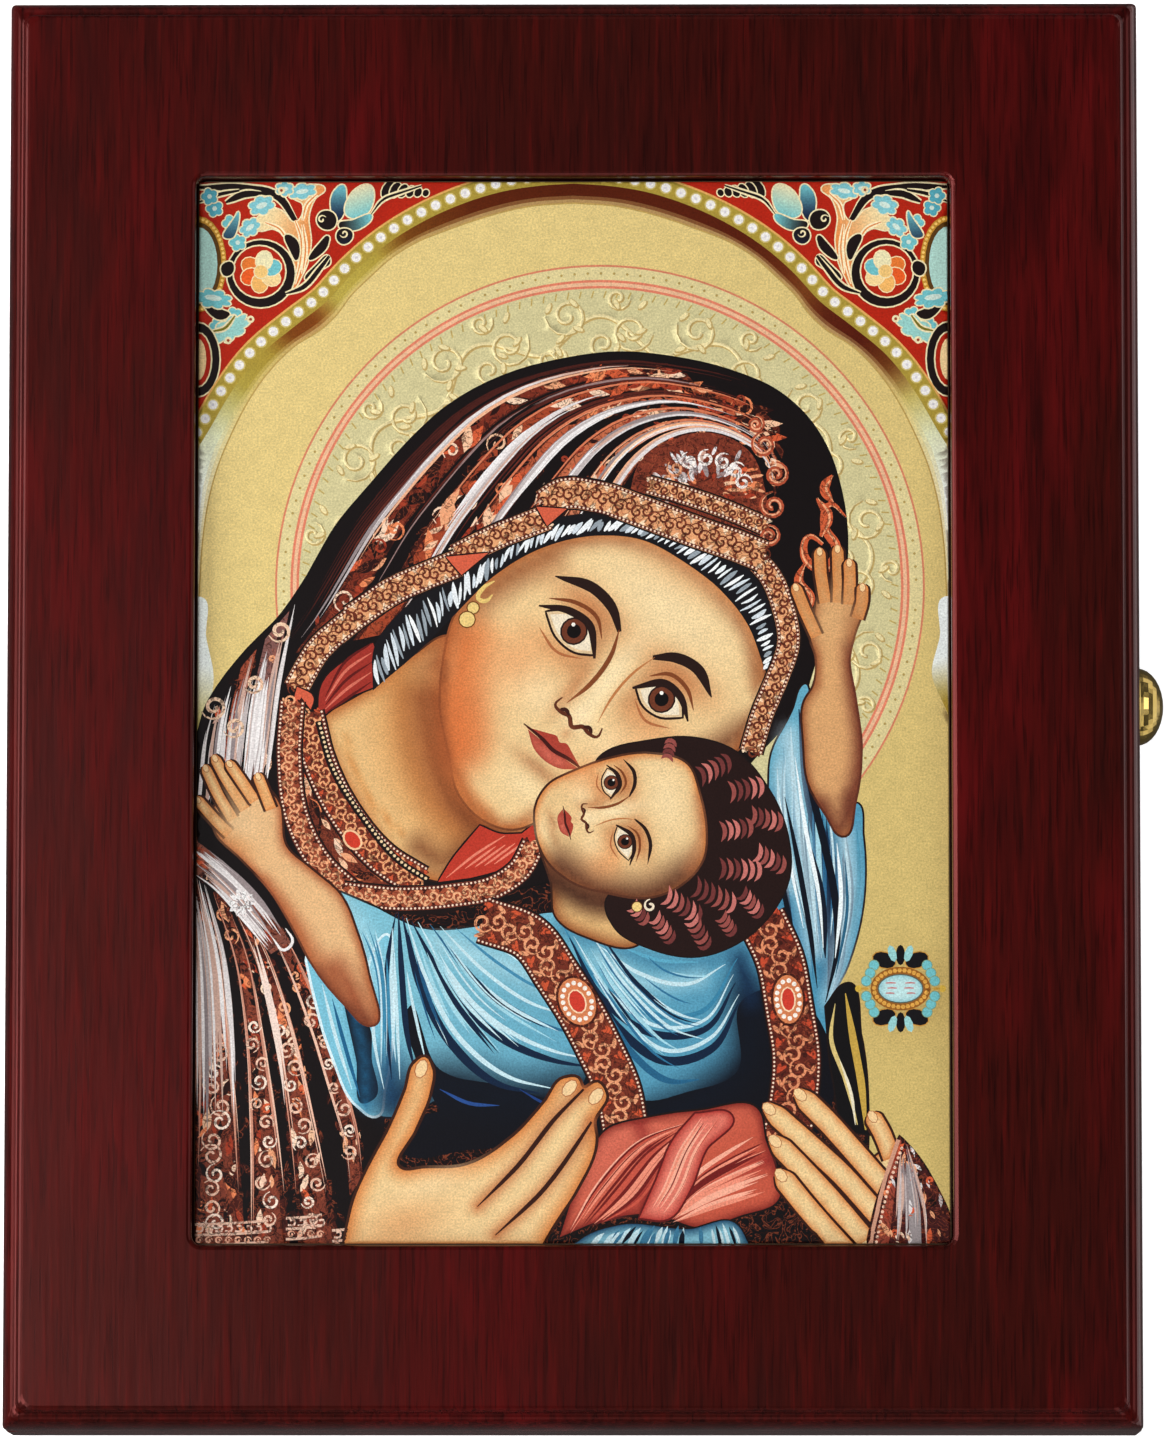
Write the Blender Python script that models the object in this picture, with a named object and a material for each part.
"""Icon case: a shallow lacquered wooden case that lies on its back and opens like a book.

The lid is one board with a moulded edge and a window recess, and the icon plate lies in the recess.
The case under it is four mitred walls round a floor panel. Two brass butt hinges join the lid to the
left wall, and a domed brass push button sits in the right wall. The frame is X to the right of the
icon, Y to its top and Z up out of its face, with the origin under the middle of the case.
"""

import math

import bmesh
import bpy
from mathutils import Matrix

# The case seen from above, in metres like every size here
CASE_WIDTH = 0.2230
CASE_LENGTH = 0.2820
WALL_THICKNESS = 0.0130
WALL_HEIGHT = 0.0250
FOOT_ROUND = 0.0015
RIM_CHAMFER = 0.0004
FLOOR_THICKNESS = 0.0040
FLOOR_REBATE = 0.0050
FLOOR_CORNER = 0.0005

# The lid board and its moulded edge: an ovolo, a cove, a fillet and the rounded edge of the face
LID_THICKNESS = 0.0160
OVOLO_WIDTH = 0.0023
OVOLO_HEIGHT = 0.0070
COVE_RADIUS = 0.0009
FILLET_DROP = 0.0006
FACE_ROUND = 0.0012
OUTER_CORNER = 0.0008
FACE_CORNER = 0.0024

# The icon plate and the window it lies in
PLATE_WIDTH = 0.1480
PLATE_LENGTH = 0.2100
PLATE_THICKNESS = 0.0030
PLATE_CORNER = 0.0016
WINDOW_DEPTH = 0.0045
WINDOW_ROUND = 0.0010

# Gaps: between pieces at rest, and across the seam under the lid
FIT_GAP = 0.0003
SEAM_GAP = 0.0003

# Hinges
HINGE_SPREAD = 0.1500
HINGE_LENGTH = 0.0300
HINGE_AXIS_INSET = 0.0032
KNUCKLE_RADIUS = 0.0020
LEAF_THICKNESS = 0.0009
LEAF_WIDTH = 0.0078
LEAF_INSET = 0.00005
PIN_RADIUS = 0.0008
ROLL_END_DEG = 25.0
OPEN_DEG = 100.0
STOP_CLEARANCE_DEG = 1.0
HINGE_SCREW_SPREAD = 0.0170

# Screws
SCREW_HEAD_RADIUS = 0.0017
SCREW_HEAD_RIM = 0.0003
SCREW_SHANK_RADIUS = 0.0008
SCREW_LENGTH = 0.0065
SCREW_SLOT_WIDTH = 0.0005
SCREW_SLOT_DEPTH = 0.00035

# The push button and the tongue that it frees
BUTTON_RADIUS = 0.0077
BUTTON_DOME = 0.0052
BUTTON_DROP = 0.0118
BUTTON_Y = 0.0030
BUTTON_PROUD = 0.0003
BUTTON_TRAVEL = 0.0025
COLLAR_WALL = 0.0006
COLLAR_LENGTH = 0.0055
FLANGE_LIP = 0.0005
FLANGE_PROUD = 0.0007
FLANGE_INSET = 0.0005
STRIKER_LENGTH = 0.0200
STRIKER_WIDTH = 0.0052
STRIKER_THICKNESS = 0.0010
TONGUE_LENGTH = 0.0080
TONGUE_THICKNESS = 0.0012
TONGUE_REACH = 0.0070
TONGUE_BARB = 0.0010
TONGUE_INSET = 0.0106
TONGUE_CLEARANCE = 0.0006
STRIKER_SCREW_SPREAD = 0.0140

# How finely round shapes are cut
CORNER_STEPS = 4
ARC_STEPS = 4
OVOLO_STEPS = 8
TURNED_SIDES = 40
SMALL_SIDES = 20
CUT_OVERRUN = 0.0020
SMOOTH_DEG = 32.0

# Places that follow from the sizes
RIM_Z = WALL_HEIGHT
SEAM_Z = RIM_Z + SEAM_GAP / 2
LID_UNDERSIDE_Z = RIM_Z + SEAM_GAP
HINGE_X = -CASE_WIDTH / 2 + HINGE_AXIS_INSET
BUTTON_Z = RIM_Z - BUTTON_DROP
BORE_RADIUS = PIN_RADIUS + FIT_GAP
COLLAR_INNER = BUTTON_RADIUS + FIT_GAP
COLLAR_OUTER = COLLAR_INNER + COLLAR_WALL
FLANGE_RADIUS = COLLAR_OUTER + FLANGE_LIP
LEAF_TOP = SEAM_GAP / 2 + LEAF_INSET
LEAF_BOTTOM = LEAF_TOP + LEAF_THICKNESS
LEAF_SCREW_X = (KNUCKLE_RADIUS + FIT_GAP + LEAF_WIDTH) / 2
WINDOW_WIDTH = PLATE_WIDTH + 2 * FIT_GAP
WINDOW_LENGTH = PLATE_LENGTH + 2 * FIT_GAP
WINDOW_CORNER = PLATE_CORNER + FIT_GAP
TONGUE_X = CASE_WIDTH / 2 - TONGUE_INSET
CATCH_BORE_DEPTH = TONGUE_INSET - TONGUE_THICKNESS / 2 - TONGUE_BARB
BUTTON_TAIL = CATCH_BORE_DEPTH - FIT_GAP - BUTTON_TRAVEL


def make_material(name, colour, roughness, metallic):
    material = bpy.data.materials.new(name)
    material.use_nodes = True
    shader = material.node_tree.nodes["Principled BSDF"]
    shader.inputs["Base Color"].default_value = (*colour, 1.0)
    shader.inputs["Roughness"].default_value = roughness
    shader.inputs["Metallic"].default_value = metallic
    return material


def add_object(name, bm, material=None, parent=None, location=(0, 0, 0), turn=(0, 0, 0)):
    """Makes the bmesh an object in the scene. A piece with no material is a cutter."""
    bmesh.ops.recalc_face_normals(bm, faces=bm.faces)
    mesh = bpy.data.meshes.new(name)
    bm.to_mesh(mesh)
    bm.free()
    piece = bpy.data.objects.new(name, mesh)
    piece.location = location
    piece.rotation_euler = [math.radians(a) for a in turn]
    bpy.context.scene.collection.objects.link(piece)
    if parent:
        piece.parent = parent
        piece.matrix_parent_inverse = Matrix.Translation(-parent.location)
    if material:
        mesh.materials.append(material)
        mesh.shade_smooth()
        mesh.set_sharp_from_angle(angle=math.radians(SMOOTH_DEG))
    else:
        piece.hide_render = True
        piece.display_type = "WIRE"
    return piece


def cut(piece, cutters):
    for cutter in cutters:
        modifier = piece.modifiers.new("cut_" + cutter.name, "BOOLEAN")
        modifier.operation = "DIFFERENCE"
        modifier.solver = "EXACT"
        modifier.object = cutter


def quarter_arc(centre, radius, start_deg, end_deg, steps=ARC_STEPS):
    """Points on a circle from one angle to another, both ends included."""
    angles = [math.radians(start_deg + (end_deg - start_deg) * i / steps) for i in range(steps + 1)]
    return [(centre[0] + radius * math.cos(a), centre[1] + radius * math.sin(a)) for a in angles]


def rounded_rectangle(width, length, radius):
    points = []
    for sx, sy, start in ((1, 1, 0), (-1, 1, 90), (-1, -1, 180), (1, -1, 270)):
        centre = (sx * (width / 2 - radius), sy * (length / 2 - radius))
        points += quarter_arc(centre, radius, start, start + 90, CORNER_STEPS)
    return points


def stacked_board(rings):
    """A closed board from rings of (width, length, corner radius, height), capped at both ends."""
    bm = bmesh.new()
    loops = [
        [bm.verts.new((x, y, z)) for x, y in rounded_rectangle(width, length, radius)]
        for width, length, radius, z in rings
    ]
    bridge(bm, loops)
    bm.faces.new(loops[0])
    bm.faces.new(loops[-1])
    return bm


def bridge(bm, loops):
    for first, second in zip(loops, loops[1:]):
        count = len(first)
        for i in range(count):
            j = (i + 1) % count
            bm.faces.new((first[i], first[j], second[j], second[i]))


def block(x_span, y_span, z_span):
    """A plain box between two corners."""
    bm = bmesh.new()
    bmesh.ops.create_cube(bm, size=1.0)
    for v in bm.verts:
        v.co.x = x_span[0] if v.co.x < 0 else x_span[1]
        v.co.y = y_span[0] if v.co.y < 0 else y_span[1]
        v.co.z = z_span[0] if v.co.z < 0 else z_span[1]
    return bm


def extruded(outline, length):
    """An outline in X and Z, extruded both ways along Y to the given length."""
    bm = bmesh.new()
    ends = [[bm.verts.new((x, y, z)) for x, z in outline] for y in (-length / 2, length / 2)]
    bridge(bm, ends)
    for end in ends:
        bm.faces.new(end)
    return bm


def turned(profile, sides, ring=False):
    """Turns points of (radius, height) about Z. A ring's profile closes on itself, off the axis."""
    bm = bmesh.new()
    loops = []
    for radius, height in profile:
        around = [2 * math.pi * i / sides for i in range(sides)]
        loops.append(
            [bm.verts.new((radius * math.cos(a), radius * math.sin(a), height)) for a in around]
            if radius > 0
            else [bm.verts.new((0, 0, height))]
        )
    if ring:
        loops.append(loops[0])
    for first, second in zip(loops, loops[1:]):
        for i in range(sides):
            j = (i + 1) % sides
            corners = [first[i % len(first)], first[j % len(first)]]
            corners += [second[j % len(second)], second[i % len(second)]]
            bm.faces.new(list(dict.fromkeys(corners)))
    return bm


def cylinder(radius, start, end, sides=TURNED_SIDES):
    return turned([(0, start), (radius, start), (radius, end), (0, end)], sides)


def edge_profile():
    """The lid's moulded edge from its side up to the face, as (inset, drop under the face)."""
    cove_top = FACE_ROUND + FILLET_DROP
    side_top = cove_top + COVE_RADIUS + OVOLO_HEIGHT
    face_start = OVOLO_WIDTH + COVE_RADIUS + FACE_ROUND
    turns = [math.pi / 2 * i / OVOLO_STEPS for i in range(OVOLO_STEPS + 1)]
    ovolo = [(OVOLO_WIDTH * (1 - math.cos(a)), side_top - OVOLO_HEIGHT * math.sin(a)) for a in turns]
    cove = quarter_arc((OVOLO_WIDTH, cove_top), COVE_RADIUS, 90, 0)
    rounding = quarter_arc((face_start, FACE_ROUND), FACE_ROUND, 180, 270)
    return ovolo + cove[1:] + rounding


def build_lid_board(material, parent):
    profile = edge_profile()
    face_inset = profile[-1][0]
    rings = [(CASE_WIDTH, CASE_LENGTH, OUTER_CORNER, 0)]
    for inset, drop in profile:
        radius = OUTER_CORNER + (FACE_CORNER - OUTER_CORNER) * inset / face_inset
        rings.append((CASE_WIDTH - 2 * inset, CASE_LENGTH - 2 * inset, radius, LID_THICKNESS - drop))
    for back, drop in quarter_arc((WINDOW_ROUND, WINDOW_ROUND), WINDOW_ROUND, 270, 180):
        grow = 2 * back
        radius = WINDOW_CORNER + back
        rings.append((WINDOW_WIDTH + grow, WINDOW_LENGTH + grow, radius, LID_THICKNESS - drop))
    pocket_floor = LID_THICKNESS - WINDOW_DEPTH - PLATE_THICKNESS - FIT_GAP
    rings.append((WINDOW_WIDTH, WINDOW_LENGTH, WINDOW_CORNER, pocket_floor))
    at = (0, 0, LID_UNDERSIDE_Z)
    return add_object("lid_board", stacked_board(rings), material, parent, at)


def build_icon_plate(material, parent):
    top = LID_UNDERSIDE_Z + LID_THICKNESS - WINDOW_DEPTH
    rings = [(PLATE_WIDTH, PLATE_LENGTH, PLATE_CORNER, z) for z in (-PLATE_THICKNESS, 0)]
    return add_object("icon_plate", stacked_board(rings), material, parent, (0, 0, top))


def wall_profile():
    """A wall's section as (inset, height)."""
    rebate_height = FLOOR_THICKNESS + FIT_GAP
    rebate_inset = WALL_THICKNESS - FLOOR_REBATE
    foot = quarter_arc((FOOT_ROUND, FOOT_ROUND), FOOT_ROUND, 270, 180)
    rim = [(0, RIM_Z - RIM_CHAMFER), (RIM_CHAMFER, RIM_Z)]
    inside = [(WALL_THICKNESS - RIM_CHAMFER, RIM_Z), (WALL_THICKNESS, RIM_Z - RIM_CHAMFER)]
    rebate = [(WALL_THICKNESS, rebate_height), (rebate_inset, rebate_height), (rebate_inset, 0)]
    return foot + rim + inside + rebate


def build_wall(name, length, place, turn, material):
    """A wall with mitred ends. Its own X runs along it and its own Y runs in from its outer face."""
    profile = wall_profile()
    mitre_gap = FIT_GAP / math.sqrt(2)
    bm = bmesh.new()
    ends = [
        [bm.verts.new((side * (length / 2 - inset - mitre_gap), inset, z)) for inset, z in profile]
        for side in (-1, 1)
    ]
    bridge(bm, ends)
    for end in ends:
        bm.faces.new(end)
    return add_object(name, bm, material, location=place, turn=(0, 0, turn))


def build_floor(material):
    inset = WALL_THICKNESS - FLOOR_REBATE + FIT_GAP
    size = (CASE_WIDTH - 2 * inset, CASE_LENGTH - 2 * inset, FLOOR_CORNER)
    return add_object("floor_panel", stacked_board([(*size, 0), (*size, FLOOR_THICKNESS)]), material)


def leaf_outline(up):
    """A leaf's section about the hinge axis: a flat plate whose end is rolled round the pin."""
    plate_angle = math.degrees(math.asin(LEAF_TOP / BORE_RADIUS))
    under_angle = math.degrees(math.asin(LEAF_BOTTOM / KNUCKLE_RADIUS))
    steps = TURNED_SIDES // 2
    inner = quarter_arc((0, 0), BORE_RADIUS, -plate_angle, ROLL_END_DEG - 360, steps)
    outer = quarter_arc((0, 0), KNUCKLE_RADIUS, ROLL_END_DEG - 360, -under_angle, steps)
    points = [(LEAF_WIDTH, -LEAF_TOP)] + inner + outer + [(LEAF_WIDTH, -LEAF_BOTTOM)]
    return [(x, up * -z) for x, z in points]


def knuckle_spans():
    """Where the three knuckles lie along a hinge: two on the case leaf, with the lid's between."""
    third = HINGE_LENGTH / 3
    half_gap = FIT_GAP / 2
    outer = [(-HINGE_LENGTH / 2, -third / 2 - half_gap), (third / 2 + half_gap, HINGE_LENGTH / 2)]
    return outer, [(-third / 2 + half_gap, third / 2 - half_gap)]


def build_leaf(name, up, others, place, material, parent=None):
    leaf = add_object(name, extruded(leaf_outline(up), HINGE_LENGTH), material, parent, place)
    reach = KNUCKLE_RADIUS + FIT_GAP
    cutters = []
    for number, (start, end) in enumerate(others, 1):
        start -= CUT_OVERRUN if start <= -HINGE_LENGTH / 2 else FIT_GAP
        end += CUT_OVERRUN if end >= HINGE_LENGTH / 2 else FIT_GAP
        notch = block((-reach, reach), (start, end), (-reach, reach))
        cutters.append(add_object(f"{name}_notch_{number}", notch, None, parent, place))
    hole = SCREW_HEAD_RADIUS + FIT_GAP
    for number, side in enumerate((-1, 1), 1):
        at = (place[0] + LEAF_SCREW_X, place[1] + side * HINGE_SCREW_SPREAD / 2, place[2])
        shaft = cylinder(hole, -LEAF_BOTTOM - CUT_OVERRUN, LEAF_BOTTOM + CUT_OVERRUN, SMALL_SIDES)
        cutters.append(add_object(f"{name}_hole_{number}", shaft, None, parent, at))
    cut(leaf, cutters)


def screw_profile():
    """A countersunk screw, head up, with its top at height 0."""
    neck = SCREW_HEAD_RIM + SCREW_HEAD_RADIUS - SCREW_SHANK_RADIUS
    shank = SCREW_SHANK_RADIUS
    points = [(0, 0), (SCREW_HEAD_RADIUS, 0), (SCREW_HEAD_RADIUS, -SCREW_HEAD_RIM), (shank, -neck)]
    return points + [(shank, -SCREW_LENGTH + shank), (0, -SCREW_LENGTH)]


def build_screw(name, place, up, material, parent=None):
    """A slotted screw and the pilot hole it needs. up is -1 where the head faces down."""
    flip = 0 if up > 0 else 180
    bm = turned(screw_profile(), SMALL_SIDES)
    screw = add_object(name, bm, material, parent, place, (flip, 0, 0))
    wide = SCREW_HEAD_RADIUS + CUT_OVERRUN
    half = SCREW_SLOT_WIDTH / 2
    slot = block((-wide, wide), (-half, half), (-SCREW_SLOT_DEPTH, CUT_OVERRUN))
    cut(screw, [add_object(name + "_slot", slot, None, parent, place, (flip, 0, 0))])
    pilot = cylinder(SCREW_SHANK_RADIUS + FIT_GAP, -SCREW_LENGTH - FIT_GAP, 0, SMALL_SIDES)
    return add_object(name + "_pilot", pilot, None, parent, place, (flip, 0, 0))


def hinge_cutters(name, y, up, parent=None):
    """The barrel's cove and the leaf's mortise, for the lid if up is 1 and for the wall if -1."""
    place = (HINGE_X, y, SEAM_Z)
    half = HINGE_LENGTH / 2 + FIT_GAP
    cove = cylinder(KNUCKLE_RADIUS + FIT_GAP, -half, half)
    depth = up * (LEAF_BOTTOM + FIT_GAP)
    z_span = sorted((depth, -up * CUT_OVERRUN))
    mortise = block((0, LEAF_WIDTH + FIT_GAP), (-half, half), z_span)
    return [
        add_object(name + "_cove", cove, None, parent, place, (-90, 0, 0)),
        add_object(name + "_mortise", mortise, None, parent, place),
    ]


def build_hinge(number, y, brass, lid_axis):
    """One hinge. Returns the cutters for the left wall and for the lid."""
    name = f"hinge_{number}"
    place = (HINGE_X, y, SEAM_Z)
    case_knuckles, lid_knuckles = knuckle_spans()
    build_leaf(name + "_case_leaf", -1, lid_knuckles, place, brass)
    build_leaf(name + "_lid_leaf", 1, case_knuckles, place, brass, lid_axis)
    pin = cylinder(PIN_RADIUS, -HINGE_LENGTH / 2, HINGE_LENGTH / 2, SMALL_SIDES)
    add_object(name + "_pin", pin, brass, None, place, (-90, 0, 0))
    wall_cuts = hinge_cutters(name + "_wall", y, -1)
    lid_cuts = hinge_cutters(name + "_lid", y, 1, lid_axis)
    for screw, side in enumerate((-1, 1), 1):
        x = HINGE_X + LEAF_SCREW_X
        y_screw = y + side * HINGE_SCREW_SPREAD / 2
        low = (x, y_screw, SEAM_Z - LEAF_TOP)
        high = (x, y_screw, SEAM_Z + LEAF_TOP)
        wall_cuts.append(build_screw(f"{name}_case_screw_{screw}", low, 1, brass))
        lid_cuts.append(build_screw(f"{name}_lid_screw_{screw}", high, -1, brass, lid_axis))
    return wall_cuts, lid_cuts


def build_back_bevel(name, up, parent=None):
    """The wedge cut off the back edge of the lid or the walls, which meet there at full opening."""
    slope = math.tan(math.radians((OPEN_DEG + STOP_CLEARANCE_DEG) / 2))
    out = HINGE_AXIS_INSET + CUT_OVERRUN
    outline = [(SEAM_GAP / slope, -up * SEAM_GAP), (-out, up * out * slope), (-out, -up * SEAM_GAP)]
    bm = extruded(outline, CASE_LENGTH + 2 * CUT_OVERRUN)
    return add_object(name, bm, None, parent, (HINGE_X, 0, SEAM_Z))


def build_catch(brass):
    """The collar and the button in the right wall. Returns the wall's cutters, and the button's axis."""
    place = (CASE_WIDTH / 2, BUTTON_Y, BUTTON_Z)
    along_x = (0, 90, 0)
    collar = [
        (COLLAR_INNER, -COLLAR_LENGTH),
        (COLLAR_OUTER, -COLLAR_LENGTH),
        (COLLAR_OUTER, -FLANGE_INSET),
        (FLANGE_RADIUS, -FLANGE_INSET),
    ]
    corner = (FLANGE_RADIUS - FLANGE_PROUD, 0)
    collar += quarter_arc(corner, FLANGE_PROUD, 0, 90)
    collar.append((COLLAR_INNER, FLANGE_PROUD))
    add_object("catch_collar", turned(collar, TURNED_SIDES, ring=True), brass, None, place, along_x)
    axis = bpy.data.objects.new("button_axis", None)
    axis.location = place
    bpy.context.scene.collection.objects.link(axis)
    quarter = quarter_arc((0, 0), 1, 0, 90, 2 * ARC_STEPS)
    dome = [(BUTTON_RADIUS * out, BUTTON_PROUD + BUTTON_DOME * up) for out, up in quarter[:-1]]
    profile = [(0, -BUTTON_TAIL), (BUTTON_RADIUS, -BUTTON_TAIL)] + dome
    profile.append((0, BUTTON_PROUD + BUTTON_DOME))
    add_object("catch_button", turned(profile, TURNED_SIDES), brass, axis, place, along_x)
    bore_radius = COLLAR_OUTER + FIT_GAP
    seat_radius = FLANGE_RADIUS + FIT_GAP
    seat_depth = -FLANGE_INSET - FIT_GAP
    bore = [(0, -CATCH_BORE_DEPTH), (bore_radius, -CATCH_BORE_DEPTH), (bore_radius, seat_depth)]
    bore += [(seat_radius, seat_depth), (seat_radius, CUT_OVERRUN), (0, CUT_OVERRUN)]
    half = TONGUE_LENGTH / 2 + TONGUE_CLEARANCE
    outward = TONGUE_THICKNESS / 2 + TONGUE_BARB + TONGUE_CLEARANCE
    inward = -TONGUE_THICKNESS / 2 - TONGUE_CLEARANCE
    depth = -TONGUE_REACH - STRIKER_THICKNESS - TONGUE_CLEARANCE
    slot = block((inward, outward), (-half, half), (depth, CUT_OVERRUN))
    return [
        add_object("catch_bore", turned(bore, TURNED_SIDES), None, None, place, along_x),
        add_object("tongue_slot", slot, None, None, (TONGUE_X, BUTTON_Y, RIM_Z)),
    ]


def build_striker(brass, lid_axis):
    """The barbed tongue under the lid, on a plate let into it. Returns the lid's cutters."""
    under = LID_UNDERSIDE_Z
    plate_top = STRIKER_THICKNESS
    half_width = STRIKER_WIDTH / 2
    half = TONGUE_THICKNESS / 2
    slant = -TONGUE_REACH + 2 * TONGUE_BARB
    outline = [
        (-half_width, plate_top),
        (-half_width, 0),
        (-half, 0),
        (-half, -TONGUE_REACH),
        (half, -TONGUE_REACH),
        (half + TONGUE_BARB, slant),
        (half, slant),
        (half, 0),
        (half_width, 0),
        (half_width, plate_top),
    ]
    place = (TONGUE_X, BUTTON_Y, under)
    striker = add_object("lid_striker", extruded(outline, STRIKER_LENGTH), brass, lid_axis, place)
    cutters = []
    for number, side in enumerate((-1, 1), 1):
        y_span = sorted((side * TONGUE_LENGTH / 2, side * (STRIKER_LENGTH / 2 + CUT_OVERRUN)))
        ear = block((-half_width, half_width), y_span, (-TONGUE_REACH - CUT_OVERRUN, 0))
        cutters.append(add_object(f"striker_ear_{number}", ear, None, lid_axis, place))
    seat_x = (-half_width - FIT_GAP, half_width + FIT_GAP)
    seat_y = (-STRIKER_LENGTH / 2 - FIT_GAP, STRIKER_LENGTH / 2 + FIT_GAP)
    seat = block(seat_x, seat_y, (-CUT_OVERRUN, STRIKER_THICKNESS + FIT_GAP))
    lid_cuts = [add_object("striker_seat", seat, None, lid_axis, place)]
    for number, side in enumerate((-1, 1), 1):
        at = (TONGUE_X, BUTTON_Y + side * STRIKER_SCREW_SPREAD / 2, under)
        shaft = cylinder(SCREW_HEAD_RADIUS + FIT_GAP, -CUT_OVERRUN, 2 * CUT_OVERRUN, SMALL_SIDES)
        cutters.append(add_object(f"striker_hole_{number}", shaft, None, lid_axis, at))
        lid_cuts.append(build_screw(f"striker_screw_{number}", at, -1, brass, lid_axis))
    cut(striker, cutters)
    return lid_cuts


def build():
    for old in list(bpy.data.objects):
        bpy.data.objects.remove(old, do_unlink=True)
    wood = make_material("lacquered_mahogany", (0.085, 0.014, 0.012), 0.25, 0.0)
    print_finish = make_material("icon_print", (0.60, 0.42, 0.16), 0.45, 0.2)
    brass = make_material("polished_brass", (0.85, 0.62, 0.22), 0.15, 1.0)
    lid_axis = bpy.data.objects.new("lid_axis", None)
    lid_axis.location = (HINGE_X, 0, SEAM_Z)
    bpy.context.scene.collection.objects.link(lid_axis)
    bpy.context.view_layer.update()

    lid = build_lid_board(wood, lid_axis)
    build_icon_plate(print_finish, lid_axis)
    half_width, half_length = CASE_WIDTH / 2, CASE_LENGTH / 2
    bottom = build_wall("wall_bottom", CASE_WIDTH, (0, -half_length, 0), 0, wood)
    right = build_wall("wall_right", CASE_LENGTH, (half_width, 0, 0), 90, wood)
    top = build_wall("wall_top", CASE_WIDTH, (0, half_length, 0), 180, wood)
    left = build_wall("wall_left", CASE_LENGTH, (-half_width, 0, 0), -90, wood)
    build_floor(wood)

    wall_bevel = build_back_bevel("wall_back_bevel", -1)
    cut(bottom, [wall_bevel])
    cut(top, [wall_bevel])
    wall_cuts, lid_cuts = [wall_bevel], [build_back_bevel("lid_back_bevel", 1, lid_axis)]
    for number, side in enumerate((-1, 1), 1):
        for_wall, for_lid = build_hinge(number, side * HINGE_SPREAD / 2, brass, lid_axis)
        wall_cuts += for_wall
        lid_cuts += for_lid
    cut(left, wall_cuts)
    cut(right, build_catch(brass))
    cut(lid, lid_cuts + build_striker(brass, lid_axis))


build()
